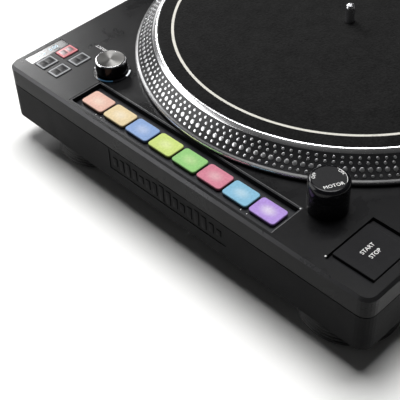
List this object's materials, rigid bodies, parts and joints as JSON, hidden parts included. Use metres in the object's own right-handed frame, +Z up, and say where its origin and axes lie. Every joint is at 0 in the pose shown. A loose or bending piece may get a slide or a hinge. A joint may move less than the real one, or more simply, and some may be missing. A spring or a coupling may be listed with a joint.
{
  "type": "turntable record player",
  "caption": "Direct-drive turntable with lit performance pads beside the platter, an S-shaped tonearm, a pitch fader and ridged rubber feet.",
  "frame": {"origin": "middle of the case's outline, on the surface that the feet stand on", "axes": "+Z up, +X towards the tonearm side, +Y towards the rear sockets"},
  "size_m": [0.458, 0.354, 0.13],
  "materials": {
    "deck_plate": "fine satin texture, near black",
    "case_black": "fine-grained matte",
    "gloss_black": "glossy",
    "foot_rubber": "matte ridged rubber",
    "platter_metal": "turned and anodised, black paint between bright dots",
    "arm_metal": "polished silver anodised",
    "steel": "polished",
    "dark_metal": "spun black metal",
    "felt": "short black felt with a printed white ring",
    "button_lamp": "translucent, lit from behind",
    "mode_pink_lamp": "translucent, lit from behind",
    "start_button": "satin",
    "display_glass": "smoked window",
    "strobe_red": "transparent red lens",
    "board_green": "solder mask",
    "magnet": "sintered",
    "copper": "enamelled wire",
    "pad_lamp_1": "translucent silicone, lit from behind",
    "pad_lamp_2": "translucent silicone, lit from behind",
    "pad_lamp_3": "translucent silicone, lit from behind",
    "pad_lamp_4": "translucent silicone, lit from behind",
    "pad_lamp_5": "translucent silicone, lit from behind",
    "pad_lamp_6": "translucent silicone, lit from behind",
    "pad_lamp_7": "translucent silicone, lit from behind",
    "pad_lamp_8": "translucent silicone, lit from behind"
  },
  "bodies": {
    "deck": {"top_case": "deck_plate", "base_case": "case_black", "rear_panel": "dark_metal", "foot_front_left": "foot_rubber", "foot_front_right": "foot_rubber", "foot_rear_left": "foot_rubber", "foot_rear_right": "foot_rubber", "pad_tray": "gloss_black", "display_window": "display_glass", "encoder_ring": "button_lamp", "strobe_post": "gloss_black", "strobe_window": "strobe_red", "pitch_panel": "case_black", "bearing_housing": "steel", "stator_coils": "copper", "main_board": "board_green", "power_supply": "board_green", "power_inlet": "case_black", "usb_jack": "steel", "phono_jacks": "case_black", "tonearm_base": "dark_metal"},
    "platter": {"platter": "platter_metal", "slipmat": "felt", "spindle": "steel", "rotor_magnet": "magnet"},
    "pad_1": {"pad_1": "pad_lamp_1"},
    "pad_2": {"pad_2": "pad_lamp_2"},
    "pad_3": {"pad_3": "pad_lamp_3"},
    "pad_4": {"pad_4": "pad_lamp_4"},
    "pad_5": {"pad_5": "pad_lamp_5"},
    "pad_6": {"pad_6": "pad_lamp_6"},
    "pad_7": {"pad_7": "pad_lamp_7"},
    "pad_8": {"pad_8": "pad_lamp_8"},
    "mode_button_1": {"mode_button_1": "button_lamp"},
    "mode_button_2": {"mode_button_2": "button_lamp"},
    "mode_button_3": {"mode_button_3": "button_lamp"},
    "mode_button_4": {"mode_button_4": "mode_pink_lamp"},
    "start_stop_button": {"start_stop_button": "start_button"},
    "speed_33_button": {"speed_33_button": "button_lamp"},
    "speed_45_button": {"speed_45_button": "button_lamp"},
    "pitch_reset_button": {"pitch_reset_button": "button_lamp"},
    "encoder_shaft": {"encoder_shaft": "steel"},
    "encoder_knob": {"encoder_knob": "dark_metal"},
    "motor_knob": {"motor_knob": "gloss_black"},
    "pitch_fader_cap": {"pitch_fader_cap": "case_black"},
    "target_light": {"target_light": "case_black"},
    "height_ring": {"height_ring": "dark_metal"},
    "arm_pillar": {"arm_pillar": "dark_metal"},
    "gimbal_yoke": {"gimbal_yoke": "arm_metal"},
    "counterweight": {"counterweight": "dark_metal"},
    "force_dial": {"force_dial": "dark_metal"},
    "locking_collar": {"locking_collar": "arm_metal"},
    "anti_skate_dial": {"anti_skate_dial": "dark_metal"},
    "cue_lever": {"cue_lever": "steel"},
    "cue_lift": {"cue_lift": "foot_rubber"},
    "arm_clip": {"arm_clip": "case_black"},
    "tonearm": {"pivot_block": "arm_metal", "arm_tube": "arm_metal", "headshell": "case_black", "cartridge": "case_black"}
  },
  "joints": [
    {"name": "pad_1_press", "type": "slide", "parent": "deck", "child": "pad_1", "axis": [0, 0, -1], "range_m": [0, 0.0008], "stiffness_N_per_m": 800},
    {"name": "pad_2_press", "type": "slide", "parent": "deck", "child": "pad_2", "axis": [0, 0, -1], "range_m": [0, 0.0008], "stiffness_N_per_m": 800},
    {"name": "pad_3_press", "type": "slide", "parent": "deck", "child": "pad_3", "axis": [0, 0, -1], "range_m": [0, 0.0008], "stiffness_N_per_m": 800},
    {"name": "pad_4_press", "type": "slide", "parent": "deck", "child": "pad_4", "axis": [0, 0, -1], "range_m": [0, 0.0008], "stiffness_N_per_m": 800},
    {"name": "pad_5_press", "type": "slide", "parent": "deck", "child": "pad_5", "axis": [0, 0, -1], "range_m": [0, 0.0008], "stiffness_N_per_m": 800},
    {"name": "pad_6_press", "type": "slide", "parent": "deck", "child": "pad_6", "axis": [0, 0, -1], "range_m": [0, 0.0008], "stiffness_N_per_m": 800},
    {"name": "pad_7_press", "type": "slide", "parent": "deck", "child": "pad_7", "axis": [0, 0, -1], "range_m": [0, 0.0008], "stiffness_N_per_m": 800},
    {"name": "pad_8_press", "type": "slide", "parent": "deck", "child": "pad_8", "axis": [0, 0, -1], "range_m": [0, 0.0008], "stiffness_N_per_m": 800},
    {"name": "mode_button_1_press", "type": "slide", "parent": "deck", "child": "mode_button_1", "axis": [0, 0, -1], "range_m": [0, 0.0006], "stiffness_N_per_m": 600},
    {"name": "mode_button_2_press", "type": "slide", "parent": "deck", "child": "mode_button_2", "axis": [0, 0, -1], "range_m": [0, 0.0006], "stiffness_N_per_m": 600},
    {"name": "mode_button_3_press", "type": "slide", "parent": "deck", "child": "mode_button_3", "axis": [0, 0, -1], "range_m": [0, 0.0006], "stiffness_N_per_m": 600},
    {"name": "mode_button_4_press", "type": "slide", "parent": "deck", "child": "mode_button_4", "axis": [0, 0, -1], "range_m": [0, 0.0006], "stiffness_N_per_m": 600},
    {"name": "start_stop_press", "type": "slide", "parent": "deck", "child": "start_stop_button", "axis": [0, 0, -1], "range_m": [0, 0.0008], "stiffness_N_per_m": 900},
    {"name": "speed_33_press", "type": "slide", "parent": "deck", "child": "speed_33_button", "axis": [0, 0, -1], "range_m": [0, 0.0008], "stiffness_N_per_m": 600},
    {"name": "speed_45_press", "type": "slide", "parent": "deck", "child": "speed_45_button", "axis": [0, 0, -1], "range_m": [0, 0.0008], "stiffness_N_per_m": 600},
    {"name": "pitch_reset_press", "type": "slide", "parent": "deck", "child": "pitch_reset_button", "axis": [0, 0, -1], "range_m": [0, 0.0008], "stiffness_N_per_m": 600},
    {"name": "encoder_push", "type": "slide", "parent": "deck", "child": "encoder_shaft", "axis": [0, 0, -1], "range_m": [0, 0.0007], "stiffness_N_per_m": 700},
    {"name": "encoder_turn", "type": "hinge", "parent": "encoder_shaft", "child": "encoder_knob", "pos_m": [-0.1804, 0.1079, 0.07], "axis": [0, 0, 1], "continuous": true},
    {"name": "motor_knob_turn", "type": "hinge", "parent": "deck", "child": "motor_knob", "pos_m": [-0.1825, -0.1062, 0.07], "axis": [0, 0, -1], "range_deg": [0, 60]},
    {"name": "pitch_slide", "type": "slide", "parent": "deck", "child": "pitch_fader_cap", "axis": [0, 1, 0], "range_m": [-0.05, 0.05]},
    {"name": "target_light_rise", "type": "slide", "parent": "deck", "child": "target_light", "axis": [0, 0, 1], "range_m": [0, 0.022]},
    {"name": "platter_spin", "type": "hinge", "parent": "deck", "child": "platter", "pos_m": [-0.03, 0, 0.07], "axis": [0, 0, 1], "continuous": true},
    {"name": "arm_height", "type": "slide", "parent": "deck", "child": "arm_pillar", "axis": [0, 0, 1], "range_m": [0, 0.006]},
    {"name": "height_ring_turn", "type": "hinge", "parent": "deck", "child": "height_ring", "pos_m": [0.165, 0.09055, 0.0803], "axis": [0, 0, -1], "range_deg": [0, 300]},
    {"name": "tonearm_swing", "type": "hinge", "parent": "arm_pillar", "child": "gimbal_yoke", "pos_m": [0.165, 0.09055, 0.0952], "axis": [0, 0, -1], "range_deg": [0, 52]},
    {"name": "tonearm_lift", "type": "hinge", "parent": "gimbal_yoke", "child": "tonearm", "pos_m": [0.165, 0.09055, 0.114], "axis": [-1, 0, 0], "range_deg": [-0.4, 8]},
    {"name": "counterweight_travel", "type": "slide", "parent": "tonearm", "child": "counterweight", "axis": [0, -1, 0], "range_m": [-0.004, 0.004]},
    {"name": "force_dial_turn", "type": "hinge", "parent": "counterweight", "child": "force_dial", "pos_m": [0.165, 0.12125, 0.114], "axis": [0, 1, 0], "range_deg": [-400, 400]},
    {"name": "locking_collar_turn", "type": "hinge", "parent": "tonearm", "child": "locking_collar", "pos_m": [0.18448, -0.09123, 0.114], "axis": [-0.3746, -0.9272, 0], "range_deg": [0, 40]},
    {"name": "anti_skate_turn", "type": "hinge", "parent": "arm_pillar", "child": "anti_skate_dial", "pos_m": [0.198, 0.08155, 0.0952], "axis": [0, 0, -1], "range_deg": [0, 300]},
    {"name": "cue_lever_turn", "type": "hinge", "parent": "arm_pillar", "child": "cue_lever", "pos_m": [0.1977, 0.05055, 0.1009], "axis": [-1, 0, 0], "range_deg": [0, 50]},
    {"name": "cue_lift_rise", "type": "slide", "parent": "arm_pillar", "child": "cue_lift", "axis": [0, 0, 1], "range_m": [0, 0.007]},
    {"name": "arm_clip_turn", "type": "hinge", "parent": "arm_pillar", "child": "arm_clip", "pos_m": [0.1732, 0.02955, 0.12055], "axis": [0, -1, 0], "range_deg": [0, 180]}
  ],
  "couplings": [
    {"joint": "arm_height", "follows": "height_ring_turn", "m_per_rad": 0.0011448},
    {"joint": "force_dial_turn", "follows": "counterweight_travel", "rad_per_m": -1743.6},
    {"joint": "cue_lift_rise", "follows": "cue_lever_turn", "m_per_rad": 0.0080134}
  ]
}
